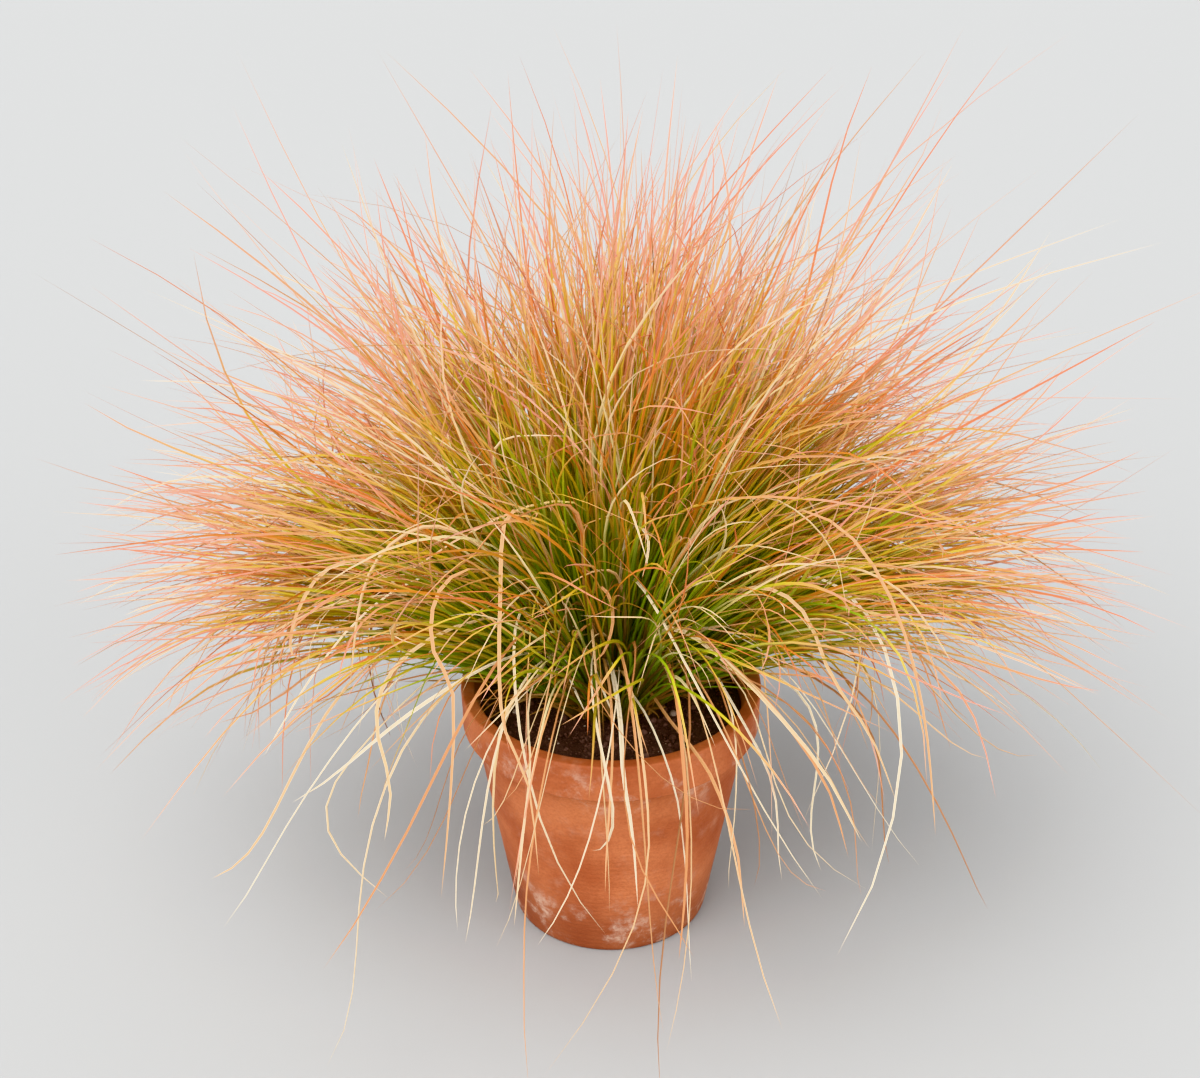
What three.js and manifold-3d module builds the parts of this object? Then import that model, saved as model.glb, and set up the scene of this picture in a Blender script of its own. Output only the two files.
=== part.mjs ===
// A potted orange sedge: a plain clay flower pot, filled with potting soil, and in the soil one clump of a
// fine-leaved sedge. The clump is many bunches of shoots packed side by side. Each bunch is a short bundle of
// leaf sheaths that flares upwards, with its long narrow blades standing out of it. The bunches in the heart
// stand upright, and the nearer a bunch is to the edge the flatter it leans. Between them stand thinner
// bunches that have died: their straw-coloured blades fold over and hang down outside the rim.
//
// Millimetres, +Z up. The origin is the middle of the pot's underside. The front is towards -Y, and an
// azimuth is measured from the front towards +X, in degrees.

import * as THREE from "three";
import { mergeVertices } from "three/addons/utils/BufferGeometryUtils.js";
import Module from "manifold-3d";

const wasm = await Module();
wasm.setup();

const { cos, sin, PI, max, min, pow, sqrt } = Math;
const { degToRad, lerp, smoothstep } = THREE.MathUtils;

// The pot: a thrown clay pot with a heavy band round its rim and three drain holes in its floor.
const POT_HEIGHT = 240;
const POT_BASE_RADIUS = 90;
const POT_BODY_RADIUS = 126; // just under the rim band
const RIM_RADIUS = 137;
const RIM_HEIGHT = 38;
const RIM_ROUNDING = 3;
const BASE_ROUNDING = 2;
const RIM_TAPER = 1; // the band is this much narrower at its lower edge
const POT_WALL = 10;
const POT_FLOOR = 13;
const DRAIN_RADIUS = 9;
const DRAIN_CIRCLE = 42;
const DRAINS = 3;
const DRAIN_SIDES = 12;
const POT_SIDES = 36;
const POT_INNER_TOP = RIM_RADIUS - POT_WALL - RIM_ROUNDING;
const POT_INNER_BASE = POT_BASE_RADIUS - POT_WALL + BASE_ROUNDING;

// The soil: it fills the pot to a little below the rim, and the clump stands in one plain hole in it.
const SOIL_HEIGHT = 220;
const SOIL_RELIEF = 1.6;
const SOIL_SIDES = 32;
const CLEARANCE = 0.3; // between pieces that rest against each other
const HOLE_EASE = 0.55; // that the hole is wider than the crown, measured at the hole's corners

// The crown: where the clump meets the soil.
const CROWN_RADIUS = 45;
const CROWN_DEPTH = 38;
const HEART_RADIUS = 11;
const INNER_RADIUS = 27;
const BUNCH_GAP = 0.6;
const SHEATH_START = 4; // above the soil, where the bunches begin to lean
const SHEATH_LENGTH = 58;
const SHEATH_TOP_SHARE = 0.66; // of its cell that a bundle of sheaths fills at its top
const EDGE_LEAN = 61;
const LEAN_POWER = 1.1;
const FRONT_LIFT = 0.38; // share by which the shoots at the very front stand steeper

// The dead bunches stand at these azimuths, most of them towards the front.
const INNER_STRAW_AZIMUTHS = [-62, -18, 24, 66, 205];
const OUTER_STRAW_AZIMUTHS = [-68, -34, 0, 36, 72, 131, 236];
const INNER_STRAW_WIDTH = 15;
const OUTER_STRAW_WIDTH = 12;
const INNER_BUNCH_WIDTH = 45;
const OUTER_BUNCH_WIDTH = 24;
const STRAW_EDGE_LEAN = 50; // a dead bunch in the outer ring stands steeper than the live ones beside it

// The blades: a live one leaves the crown nearly straight and then arches, a dead one folds over in the
// middle. Each gets a footing of its own in the crown. Angles are in degrees, and a range is [low, high].
const LIVE = {
  footing: 15.2, // the area of crown for each blade
  width: 2.5,
  stations: [0.42, 0.65, 0.84], // the cross-sections along it, as shares of its length
  drift: [-4, 4], // steeper or flatter than its neighbours
  turn: 5, // to either side of its own azimuth
  sway: 9, // that it has turned further at its tip
  bend: [3, 32], // from its foot to its tip, on top of a share of its lean
  bendWithLean: 0.55,
};
const DEAD = {
  footing: 17,
  width: 3.0,
  stations: [0.3, 0.46, 0.6, 0.78],
  drift: [-16, 6],
  turn: 16,
  sway: 22,
  bend: [116, 174],
  bendWithLean: -1,
};
const UPRIGHT_LENGTH = 548;
const FLAT_LENGTH = 470;
const STRAW_LENGTH = 520;
const SHORTEST_SHARE = 0.7;
const BEND_POWER = 1.9;
const FOLD_PLACE = [0.34, 0.56]; // where a dead blade folds, as a share of its length
const FOLD_WIDTH = [0.2, 0.38];
const FOLD_START = 0.1; // a dead blade is still straight up to here
const ROLL = [-28, 28]; // of a blade about its own length
const BLADE_DEPTH = 0.9; // from its edges down to its keel
const TIP_TAPER = 0.75; // the width left where the last piece of a blade begins
const LINE_STEPS = 48;
const FOOT_INSET = 2.2; // of a blade's foot from the side of its bundle
const FOOT_START = 8; // how far up its bundle a blade's root begins
const TRIES = 80;
const BLADE_CLEAR = 3.4; // between the centre lines of two blades, once they are out of their sheaths
const SAMPLE_STEP = 3;
const RIM_CLEAR = 4;
const GOLDEN = (sqrt(5) - 1) / 2;
const SEED = 7;

const POT_CLAY = new THREE.MeshStandardMaterial({ color: 0xb5653f, roughness: 0.85, metalness: 0 });
const SOIL_BROWN = new THREE.MeshStandardMaterial({ color: 0x4a3731, roughness: 0.95, metalness: 0 });
const BLADE_GREEN = new THREE.MeshStandardMaterial({ color: 0x8f8a2c, roughness: 0.5, metalness: 0 });
const BLADE_ORANGE = new THREE.MeshStandardMaterial({ color: 0xbd8a40, roughness: 0.5, metalness: 0 });
const STRAW_TAN = new THREE.MeshStandardMaterial({ color: 0xd9bf93, roughness: 0.7, metalness: 0 });

// A repeatable stream of numbers from 0 to 1.
function seededDraw(seed) {
  let state = seed >>> 0;
  return () => {
    state = (state + 0x6d2b79f5) >>> 0;
    let t = state;
    t = Math.imul(t ^ (t >>> 15), t | 1);
    t ^= t + Math.imul(t ^ (t >>> 7), t | 61);
    return ((t ^ (t >>> 14)) >>> 0) / 4294967296;
  };
}

function between(draw, [low, high]) {
  return lerp(low, high, draw());
}

// The point at a radius, azimuth and height.
function polar(radius, azimuth, z) {
  const a = degToRad(azimuth);
  return new THREE.Vector3(radius * sin(a), -radius * cos(a), z);
}

function closedGeometry(points, faces) {
  const geometry = new THREE.BufferGeometry().setFromPoints(points);
  geometry.setIndex(faces.flat());
  return geometry;
}

function solidOf(geometry) {
  const bare = new THREE.BufferGeometry().setAttribute("position", geometry.getAttribute("position"));
  bare.setIndex(geometry.index);
  const merged = mergeVertices(bare, 1e-4);
  const corners = merged.index.array;
  const faces = [];
  for (let i = 0; i < corners.length; i += 3) {
    const [a, b, c] = corners.slice(i, i + 3);
    if (a !== b && b !== c && c !== a) faces.push(a, b, c);
  }
  return new wasm.Manifold(
    new wasm.Mesh({
      numProp: 3,
      vertProperties: merged.attributes.position.array,
      triVerts: new Uint32Array(faces),
    }),
  );
}

function geometryOf(solid) {
  const mesh = solid.getMesh();
  const geometry = new THREE.BufferGeometry();
  geometry.setAttribute("position", new THREE.BufferAttribute(mesh.vertProperties, 3));
  geometry.setIndex(new THREE.BufferAttribute(mesh.triVerts, 1));
  geometry.computeVertexNormals();
  return geometry;
}

// A solid turned on the Z axis, from [radius, height] pairs that go round it with the solid on their left.
function turned(profile, sides) {
  const points = profile.map(([radius, height]) => new THREE.Vector2(radius, height));
  return new THREE.LatheGeometry(points, sides).rotateX(PI / 2);
}

function potGeometry() {
  const bandBottom = POT_HEIGHT - RIM_HEIGHT;
  const profile = [
    [0, 0],
    [POT_BASE_RADIUS - BASE_ROUNDING, 0],
    [POT_BASE_RADIUS, BASE_ROUNDING],
    [POT_BODY_RADIUS, bandBottom],
    [RIM_RADIUS - RIM_ROUNDING, bandBottom],
    [RIM_RADIUS - RIM_TAPER, bandBottom + RIM_ROUNDING],
    [RIM_RADIUS, POT_HEIGHT - RIM_ROUNDING],
    [RIM_RADIUS - RIM_ROUNDING, POT_HEIGHT],
    [POT_INNER_TOP + RIM_ROUNDING, POT_HEIGHT],
    [POT_INNER_TOP, POT_HEIGHT - RIM_ROUNDING],
    [POT_INNER_BASE, POT_FLOOR],
    [0, POT_FLOOR],
  ];
  let pot = solidOf(turned(profile, POT_SIDES));
  for (let i = 0; i < DRAINS; i++) {
    const centre = polar(DRAIN_CIRCLE, (i * 360) / DRAINS, POT_FLOOR / 2);
    const drain = new THREE.CylinderGeometry(DRAIN_RADIUS, DRAIN_RADIUS, POT_FLOOR * 2, DRAIN_SIDES);
    pot = pot.subtract(solidOf(drain.rotateX(PI / 2).translate(...centre.toArray())));
  }
  return geometryOf(pot);
}

// The inner radius of the pot at a height.
function potInside(height) {
  const share = (height - POT_FLOOR) / (POT_HEIGHT - RIM_ROUNDING - POT_FLOOR);
  return lerp(POT_INNER_BASE, POT_INNER_TOP, share);
}

function soilGeometry() {
  const hole = CROWN_RADIUS + HOLE_EASE;
  const gap = CLEARANCE + potInside(SOIL_HEIGHT) * (1 - cos(PI / POT_SIDES));
  const bottom = POT_FLOOR + CLEARANCE;
  const outer = potInside(SOIL_HEIGHT) - gap;
  const rings = [0.25, 0.5, 0.75].map((share) => [lerp(outer, hole, share), SOIL_HEIGHT]);
  const profile = [
    [0, bottom],
    [potInside(bottom) - gap, bottom],
    [outer, SOIL_HEIGHT],
    ...rings,
    [hole, SOIL_HEIGHT],
    [hole, SOIL_HEIGHT - CROWN_DEPTH - CLEARANCE],
    [0, SOIL_HEIGHT - CROWN_DEPTH - CLEARANCE],
  ];
  const geometry = turned(profile, SOIL_SIDES);
  const place = geometry.getAttribute("position");
  for (let i = 0; i < place.count; i++) {
    const [x, y] = [place.getX(i), place.getY(i)];
    const radius = sqrt(x * x + y * y);
    const waves = sin(x * 0.11 + 1) * cos(y * 0.09) + 0.6 * sin(y * 0.23 + x * 0.17);
    const open = place.getZ(i) === SOIL_HEIGHT && radius > hole + 1 && radius < outer - 1;
    if (open) place.setZ(i, SOIL_HEIGHT + SOIL_RELIEF * waves);
  }
  return geometry;
}

// The way that a shoot leaves the crown, in degrees from upright.
function leanAt(radius, azimuth, straw) {
  const leanOf = (share) => EDGE_LEAN * pow(share, LEAN_POWER);
  const lift = 1 - FRONT_LIFT * max(0, cos(degToRad(azimuth)));
  if (!straw || radius < INNER_RADIUS) return lift * leanOf(radius / CROWN_RADIUS);
  const outward = (radius - INNER_RADIUS) / (CROWN_RADIUS - INNER_RADIUS);
  return lift * lerp(leanOf(INNER_RADIUS / CROWN_RADIUS), STRAW_EDGE_LEAN, outward);
}

// The point that a shoot from this footing has reached. Shoots from different footings never meet.
function alongShoot(radius, azimuth, reach, straw) {
  const base = SOIL_HEIGHT + SHEATH_START;
  if (reach < 0) return polar(radius, azimuth, base + reach);
  const lean = degToRad(leanAt(radius, azimuth, straw));
  return polar(radius + reach * sin(lean), azimuth, base + reach * cos(lean));
}

// A bundle of sheaths: the cell of its bunch in the crown, carried up along the shoots and narrowing.
function sheathGeometry(cell) {
  const { inside, outside, from, to, straw } = cell;
  const whole = to - from >= 360;
  const arc = (radius, count) => {
    const inset = whole ? 0 : (BUNCH_GAP / 2 / radius) * (180 / PI);
    return Array.from({ length: count }, (_, i) => [
      radius,
      whole ? from + ((to - from) * i) / count : lerp(from + inset, to - inset, i / (count - 1)),
    ]);
  };
  const corners = to - from > 16 ? 3 : 2;
  const outline = whole ? arc(outside, 8) : [...arc(inside, corners).reverse(), ...arc(outside, corners + 1)];
  const middle = whole ? [0, 0] : [(inside + outside) / 2, (from + to) / 2];
  const levels = [-SHEATH_START - CROWN_DEPTH, 0, SHEATH_LENGTH / 2, SHEATH_LENGTH];
  const points = [];
  for (const reach of levels) {
    const share = lerp(1, SHEATH_TOP_SHARE, max(0, reach) / SHEATH_LENGTH);
    for (const [radius, azimuth] of outline) {
      const narrowed = whole ? radius * share : lerp(middle[0], radius, share);
      const turnedTo = whole ? azimuth : lerp(middle[1], azimuth, share);
      points.push(alongShoot(narrowed, turnedTo, reach, straw));
    }
  }
  points.push(alongShoot(middle[0], middle[1], levels[0], straw));
  points.push(alongShoot(middle[0], middle[1], SHEATH_LENGTH + 2, straw));
  const n = outline.length;
  const faces = [];
  for (let i = 0; i < n; i++) {
    const j = (i + 1) % n;
    for (let level = 0; level < levels.length - 1; level++) {
      const [a, b] = [level * n + i, level * n + j];
      faces.push([a, b, b + n], [a, b + n, a + n]);
    }
    const top = (levels.length - 1) * n;
    faces.push([j, i, levels.length * n]);
    faces.push([top + i, top + j, levels.length * n + 1]);
  }
  return closedGeometry(points, faces);
}

// A blade's centre line as points and tangents, from its foot to its tip.
function centreLine(blade) {
  const step = (blade.length - FOOT_START) / LINE_STEPS;
  const point = alongShoot(blade.radius, blade.azimuth, FOOT_START, blade.straw);
  const line = [];
  for (let i = 0; i <= LINE_STEPS; i++) {
    const reach = FOOT_START + i * step;
    const share = reach / blade.length;
    const free = smoothstep(reach, SHEATH_LENGTH, SHEATH_LENGTH * 3);
    const foldStart = max(blade.fold - blade.foldWidth, FOLD_START);
    const fold = smoothstep(share, foldStart, blade.fold + blade.foldWidth);
    const curl = blade.straw ? blade.bend * fold : blade.bend * pow(share, BEND_POWER);
    const tilt = degToRad(blade.lean + blade.drift * free + curl);
    const heading = blade.azimuth + blade.turn * free + blade.sway * share * share;
    const tangent = polar(sin(tilt), heading, cos(tilt));
    line.push({ share, point: point.clone(), tangent, heading });
    point.addScaledVector(tangent, step);
  }
  return line;
}

// The line's point and directions at a share of its length.
function stationOn(line, share) {
  const first = line[0].share;
  const place = max(0, (share - first) / (1 - first)) * (line.length - 1);
  const low = min(Math.floor(place), line.length - 2);
  const [a, b] = [line[low], line[low + 1]];
  return {
    point: a.point.clone().lerp(b.point, place - low),
    tangent: a.tangent.clone().lerp(b.tangent, place - low).normalize(),
    heading: a.heading,
  };
}

// Points every few millimetres along the straight pieces that the solid blade is made of. Up to the top
// of the sheaths a blade may touch others of its own bunch, since they are fused there anyway.
function samplesOf(stations, bunch) {
  const samples = [];
  for (let i = 0; i < stations.length - 1; i++) {
    const [a, b] = [stations[i].point, stations[i + 1].point];
    const count = Math.ceil(a.distanceTo(b) / SAMPLE_STEP);
    for (let k = 0; k <= count; k++) {
      const fused = i === 0 && k * SAMPLE_STEP < SHEATH_LENGTH;
      samples.push({ point: a.clone().lerp(b, k / count), bunch, fused });
    }
  }
  return samples;
}

// The blades placed so far, by the cube of space that each of their samples lies in.
const taken = new Map();

function cubeOf(p) {
  return [p.x, p.y, p.z].map((value) => Math.floor(value / BLADE_CLEAR));
}

function meetsBlade({ point, bunch, fused }) {
  const [i, j, k] = cubeOf(point);
  const meets = (other) => !(fused && other.bunch === bunch) && other.point.distanceTo(point) < BLADE_CLEAR;
  for (let x = i - 1; x <= i + 1; x++)
    for (let y = j - 1; y <= j + 1; y++)
      for (let z = k - 1; z <= k + 1; z++) if ((taken.get(`${x},${y},${z}`) ?? []).some(meets)) return true;
  return false;
}

function meetsPot({ point: p, fused }) {
  if (fused) return false;
  const radius = sqrt(p.x * p.x + p.y * p.y);
  if (radius < potInside(SOIL_HEIGHT) - RIM_CLEAR) return p.z < SOIL_HEIGHT + RIM_CLEAR;
  if (radius < RIM_RADIUS + RIM_CLEAR) return p.z < POT_HEIGHT + RIM_CLEAR;
  return p.z < RIM_CLEAR;
}

function keepClearOf(samples) {
  for (const sample of samples) {
    const key = cubeOf(sample.point).join(",");
    if (!taken.has(key)) taken.set(key, []);
    taken.get(key).push(sample);
  }
}

// One draw of a blade from its footing.
function drawnBlade(draw, radius, azimuth, straw) {
  const habit = straw ? DEAD : LIVE;
  const lean = leanAt(radius, azimuth, straw);
  const full = straw ? STRAW_LENGTH : lerp(UPRIGHT_LENGTH, FLAT_LENGTH, lean / EDGE_LEAN);
  return {
    radius,
    azimuth,
    straw,
    lean,
    length: full * lerp(1, SHORTEST_SHARE, pow(draw(), 2)),
    drift: between(draw, habit.drift),
    turn: between(draw, [-habit.turn, habit.turn]),
    sway: between(draw, [-habit.sway, habit.sway]),
    bend: between(draw, habit.bend) + habit.bendWithLean * lean,
    fold: between(draw, FOLD_PLACE),
    foldWidth: between(draw, FOLD_WIDTH),
    roll: between(draw, ROLL),
  };
}

// Draws a blade again until it stays clear of the pot, and of the other blades above the sheaths.
function placedBlade(draw, radius, azimuth, cell) {
  const shares = [0, ...(cell.straw ? DEAD : LIVE).stations, 1];
  for (let attempt = 0; attempt < TRIES; attempt++) {
    const blade = drawnBlade(draw, radius, azimuth, cell.straw);
    const line = centreLine(blade);
    const stations = shares.map((share) => stationOn(line, share));
    const samples = samplesOf(stations, cell);
    if (samples.some((p) => meetsPot(p) || meetsBlade(p))) continue;
    keepClearOf(samples);
    return { ...blade, stations };
  }
  return null;
}

// A three-sided blade: two edges and a keel under them, drawn out to a point.
function bladeGeometry({ stations, roll, straw }) {
  const { width } = straw ? DEAD : LIVE;
  const points = [];
  stations.slice(0, -1).forEach(({ point, tangent, heading }, i) => {
    const taper = i < stations.length - 2 ? 1 : TIP_TAPER;
    const side = polar(1, heading + 90, 0).applyAxisAngle(tangent, degToRad(roll));
    const under = side.clone().cross(tangent).normalize();
    points.push(point.clone().addScaledVector(side, (-width / 2) * taper));
    points.push(point.clone().addScaledVector(side, (width / 2) * taper));
    points.push(point.clone().addScaledVector(under, BLADE_DEPTH * taper));
  });
  points.push(stations.at(-1).point);
  const last = stations.length - 2;
  const faces = [[0, 1, 2]];
  for (let ring = 0; ring <= last; ring++)
    for (let i = 0; i < 3; i++) {
      const [a, b] = [ring * 3 + i, ring * 3 + ((i + 1) % 3)];
      if (ring === last) faces.push([b, a, (last + 1) * 3]);
      else faces.push([b, a, a + 3], [b, a + 3, b + 3]);
    }
  return closedGeometry(points, faces);
}

// The footings of a bunch: an even scatter over its cell, stepping across it by the golden ratio.
function footingsOf({ inside, outside, from, to, straw }) {
  const [low, high] = [inside + (inside ? FOOT_INSET : 0), outside - FOOT_INSET];
  const area = (PI * (outside * outside - inside * inside) * (to - from)) / 360;
  const count = Math.round(area / (straw ? DEAD : LIVE).footing);
  return Array.from({ length: count }, (_, k) => {
    const radius = sqrt(lerp(low * low, high * high, (k + 0.5) / count));
    const inset = to - from >= 360 ? 0 : min((FOOT_INSET / radius) * (180 / PI), (to - from) * 0.42);
    const across = (k * GOLDEN + 0.5) % 1;
    return [radius, lerp(from + inset, to - inset, across)];
  });
}

// A bunch: its sheaths and its blades, fused into one body.
function bunchGeometry(cell, seed) {
  const draw = seededDraw(seed);
  let solid = solidOf(sheathGeometry(cell));
  for (const [radius, azimuth] of footingsOf(cell)) {
    const blade = placedBlade(draw, radius, azimuth, cell);
    if (blade) solid = solid.add(solidOf(bladeGeometry(blade)));
  }
  return geometryOf(solid);
}

// The cells of one ring of the crown: dead ones at the azimuths given, and live ones filling what is left.
function ringOfCells(inside, outside, strawAzimuths, strawWidth, bunchWidth) {
  const cells = [];
  strawAzimuths.forEach((azimuth, i) => {
    const next = i + 1 < strawAzimuths.length ? strawAzimuths[i + 1] : strawAzimuths[0] + 360;
    const from = azimuth + strawWidth / 2;
    const to = next - strawWidth / 2;
    cells.push({ inside, outside, from: azimuth - strawWidth / 2, to: from, straw: true });
    const count = Math.round((to - from) / bunchWidth);
    for (let k = 0; k < count; k++) {
      const [a, b] = [lerp(from, to, k / count), lerp(from, to, (k + 1) / count)];
      cells.push({ inside, outside, from: a, to: b, straw: false });
    }
  });
  return cells;
}

const heart = [{ inside: 0, outside: HEART_RADIUS, from: 0, to: 360, straw: false }];
const inner = ringOfCells(
  HEART_RADIUS + BUNCH_GAP,
  INNER_RADIUS,
  INNER_STRAW_AZIMUTHS,
  INNER_STRAW_WIDTH,
  INNER_BUNCH_WIDTH,
);
const outer = ringOfCells(
  INNER_RADIUS + BUNCH_GAP,
  CROWN_RADIUS,
  OUTER_STRAW_AZIMUTHS,
  OUTER_STRAW_WIDTH,
  OUTER_BUNCH_WIDTH,
);

const sedge = new THREE.Group();

function addPiece(name, geometry, material) {
  const mesh = new THREE.Mesh(geometry, material);
  mesh.name = name;
  sedge.add(mesh);
}

// One node for each bunch of a ring, the live and the dead ones numbered apart.
function addBunches(ring, cells, material, seed) {
  const made = { bunch: 0, straw: 0 };
  cells.forEach((cell, i) => {
    const kind = cell.straw ? "straw" : "bunch";
    made[kind]++;
    const name = `${ring}_${kind}_${String(made[kind]).padStart(2, "0")}`;
    addPiece(name, bunchGeometry(cell, seed + i), cell.straw ? STRAW_TAN : material);
  });
}

addPiece("pot", potGeometry(), POT_CLAY);
addPiece("potting_soil", soilGeometry(), SOIL_BROWN);
addBunches("heart", heart, BLADE_GREEN, SEED);
addBunches("inner", inner, BLADE_GREEN, SEED + heart.length);
addBunches("outer", outer, BLADE_ORANGE, SEED + heart.length + inner.length);

export default sedge;
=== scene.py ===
# A potted orange sedge: a plain clay pot, potting soil, and one clump of a fine-leaved sedge that is green
# at its heart and orange outside, with dead straw-coloured blades hanging over the rim. Metres, +Z up. The
# origin is the middle of the pot's underside and the front is towards -Y.

import math

import bmesh
import bpy
import numpy as np
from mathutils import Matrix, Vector


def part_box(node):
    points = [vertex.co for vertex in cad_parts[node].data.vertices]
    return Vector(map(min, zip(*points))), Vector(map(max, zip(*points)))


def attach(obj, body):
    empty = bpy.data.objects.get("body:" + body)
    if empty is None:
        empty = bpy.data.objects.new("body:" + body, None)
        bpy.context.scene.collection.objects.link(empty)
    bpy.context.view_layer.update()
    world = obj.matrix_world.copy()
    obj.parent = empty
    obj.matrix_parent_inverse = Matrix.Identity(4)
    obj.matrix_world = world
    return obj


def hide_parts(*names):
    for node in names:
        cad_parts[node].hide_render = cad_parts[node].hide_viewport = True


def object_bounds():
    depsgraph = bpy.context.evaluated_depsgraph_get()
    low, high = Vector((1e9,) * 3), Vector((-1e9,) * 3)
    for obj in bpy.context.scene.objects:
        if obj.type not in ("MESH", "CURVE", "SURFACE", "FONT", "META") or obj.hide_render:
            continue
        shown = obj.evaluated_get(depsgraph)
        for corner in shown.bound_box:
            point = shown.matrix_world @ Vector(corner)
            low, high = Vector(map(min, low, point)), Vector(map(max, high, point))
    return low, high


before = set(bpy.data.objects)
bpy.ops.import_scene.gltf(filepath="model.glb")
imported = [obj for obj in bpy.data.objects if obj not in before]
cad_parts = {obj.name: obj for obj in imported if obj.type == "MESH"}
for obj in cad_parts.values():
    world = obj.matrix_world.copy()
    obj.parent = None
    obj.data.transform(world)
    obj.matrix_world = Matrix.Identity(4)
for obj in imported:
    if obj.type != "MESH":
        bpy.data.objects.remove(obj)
cad_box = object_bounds()


# The pot is thrown from red clay and fired without a glaze: a tapering body, a heavy band round the rim, and
# three drain holes through the floor. The wheel leaves shallow rings on it, and hard water a pale bloom.
MM = 0.001
pot_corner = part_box("pot")[1]
RIM_RADIUS = pot_corner[0]
POT_HEIGHT = pot_corner[2]
BASE_RADIUS = 90 * MM
FOOT_SET_IN = 1 * MM
BODY_RADIUS = 126 * MM
BAND_HEIGHT = 38 * MM
BAND_TAPER = 1 * MM
BAND_WAIST = 0.3 * MM
POT_WALL = 10 * MM
POT_FLOOR = 13 * MM
INNER_TOP = RIM_RADIUS - POT_WALL - 3 * MM
INNER_BASE = BASE_RADIUS - POT_WALL + 2 * MM
POT_SIDES = 144
WHEEL_RINGS = 26
WHEEL_DEPTH = 0.22 * MM
EDGE_ROUNDING = 2.4 * MM
EDGE_STEPS = 4
SHARP_EDGE = math.radians(30)  # steeper corners than this are rounded
SMOOTH_EDGE = math.radians(35)  # flatter corners than this are shaded smooth
DRAINS = 3
DRAIN_RADIUS = 9 * MM
DRAIN_CIRCLE = 42 * MM
DRAIN_SIDES = 40


def start_piece(name):
    """Names the primitive that has just been added, and opens it for editing with all of it selected."""
    piece = bpy.context.object
    piece.name = name
    piece.data.name = name
    bpy.ops.object.mode_set(mode="EDIT")
    bpy.ops.mesh.select_all(action="SELECT")
    return piece


def end_piece():
    """Closes the piece's seams, turns its faces outwards and leaves edit mode."""
    bpy.ops.mesh.select_all(action="SELECT")
    bpy.ops.mesh.fill_holes(sides=0)
    bpy.ops.mesh.normals_make_consistent(inside=False)
    bpy.ops.object.mode_set(mode="OBJECT")


def throw(name, sides, profile):
    """Draws a ring up through the radii and heights of a profile, as a pot is thrown, and closes its ends."""
    bpy.ops.object.select_all(action="DESELECT")
    radius, height = profile[0]
    bpy.ops.mesh.primitive_circle_add(vertices=sides, radius=radius, location=(0, 0, height))
    bpy.ops.object.transform_apply(location=True)
    piece = start_piece(name)
    for next_radius, next_height in profile[1:]:
        bpy.ops.mesh.extrude_region_move(TRANSFORM_OT_translate={"value": (0, 0, next_height - height)})
        grow = next_radius / radius
        bpy.ops.transform.resize(value=(grow, grow, 1), center_override=(0, 0, next_height))
        radius, height = next_radius, next_height
    end_piece()
    return piece


def finish_with(piece, kind, **settings):
    """Adds a modifier to the piece and applies it."""
    bpy.context.view_layer.objects.active = piece
    modifier = piece.modifiers.new(kind.lower(), kind)
    for name, value in settings.items():
        setattr(modifier, name, value)
    bpy.ops.object.modifier_apply(modifier=modifier.name)


wheel = np.random.default_rng(3)
band_bottom = POT_HEIGHT - BAND_HEIGHT
band_low_radius = RIM_RADIUS - BAND_TAPER
body = [
    (
        BASE_RADIUS + (BODY_RADIUS - BASE_RADIUS) * share + WHEEL_DEPTH * wheel.uniform(-1, 0),
        band_bottom * share,
    )
    for share in np.linspace(0.03, 0.985, WHEEL_RINGS)
]
pot = throw(
    "clay_pot",
    POT_SIDES,
    [
        (BASE_RADIUS - FOOT_SET_IN, 0),
        *body,
        (BODY_RADIUS, band_bottom),
        (band_low_radius, band_bottom),
        (band_low_radius - BAND_WAIST, band_bottom + BAND_HEIGHT * 0.35),
        (RIM_RADIUS, POT_HEIGHT),
        (INNER_TOP, POT_HEIGHT),
        ((INNER_TOP + INNER_BASE) / 2, (POT_HEIGHT + POT_FLOOR) / 2),
        (INNER_BASE, POT_FLOOR),
    ],
)
at_sharp_edges = {"limit_method": "ANGLE", "angle_limit": SHARP_EDGE}
finish_with(pot, "BEVEL", width=EDGE_ROUNDING, segments=EDGE_STEPS, **at_sharp_edges)
for turn in range(DRAINS):
    azimuth = math.tau * turn / DRAINS
    spot = (DRAIN_CIRCLE * math.sin(azimuth), -DRAIN_CIRCLE * math.cos(azimuth), POT_FLOOR / 2)
    bpy.ops.object.select_all(action="DESELECT")
    bpy.ops.mesh.primitive_cylinder_add(
        vertices=DRAIN_SIDES, radius=DRAIN_RADIUS, depth=POT_FLOOR * 3, location=spot
    )
    drill = bpy.context.object
    finish_with(pot, "BOOLEAN", operation="DIFFERENCE", object=drill, solver="EXACT")
    bpy.data.objects.remove(drill)
bpy.ops.object.select_all(action="DESELECT")
pot.select_set(True)
bpy.ops.object.shade_smooth_by_angle(angle=SMOOTH_EDGE)


def tone(red, green, blue):
    """A colour as a painter would mix it, 0 to 255, in the linear values that a shader takes."""
    parts = [part / 255 for part in (red, green, blue)]
    return [p / 12.92 if p <= 0.04045 else ((p + 0.055) / 1.055) ** 2.4 for p in parts] + [1]


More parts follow.
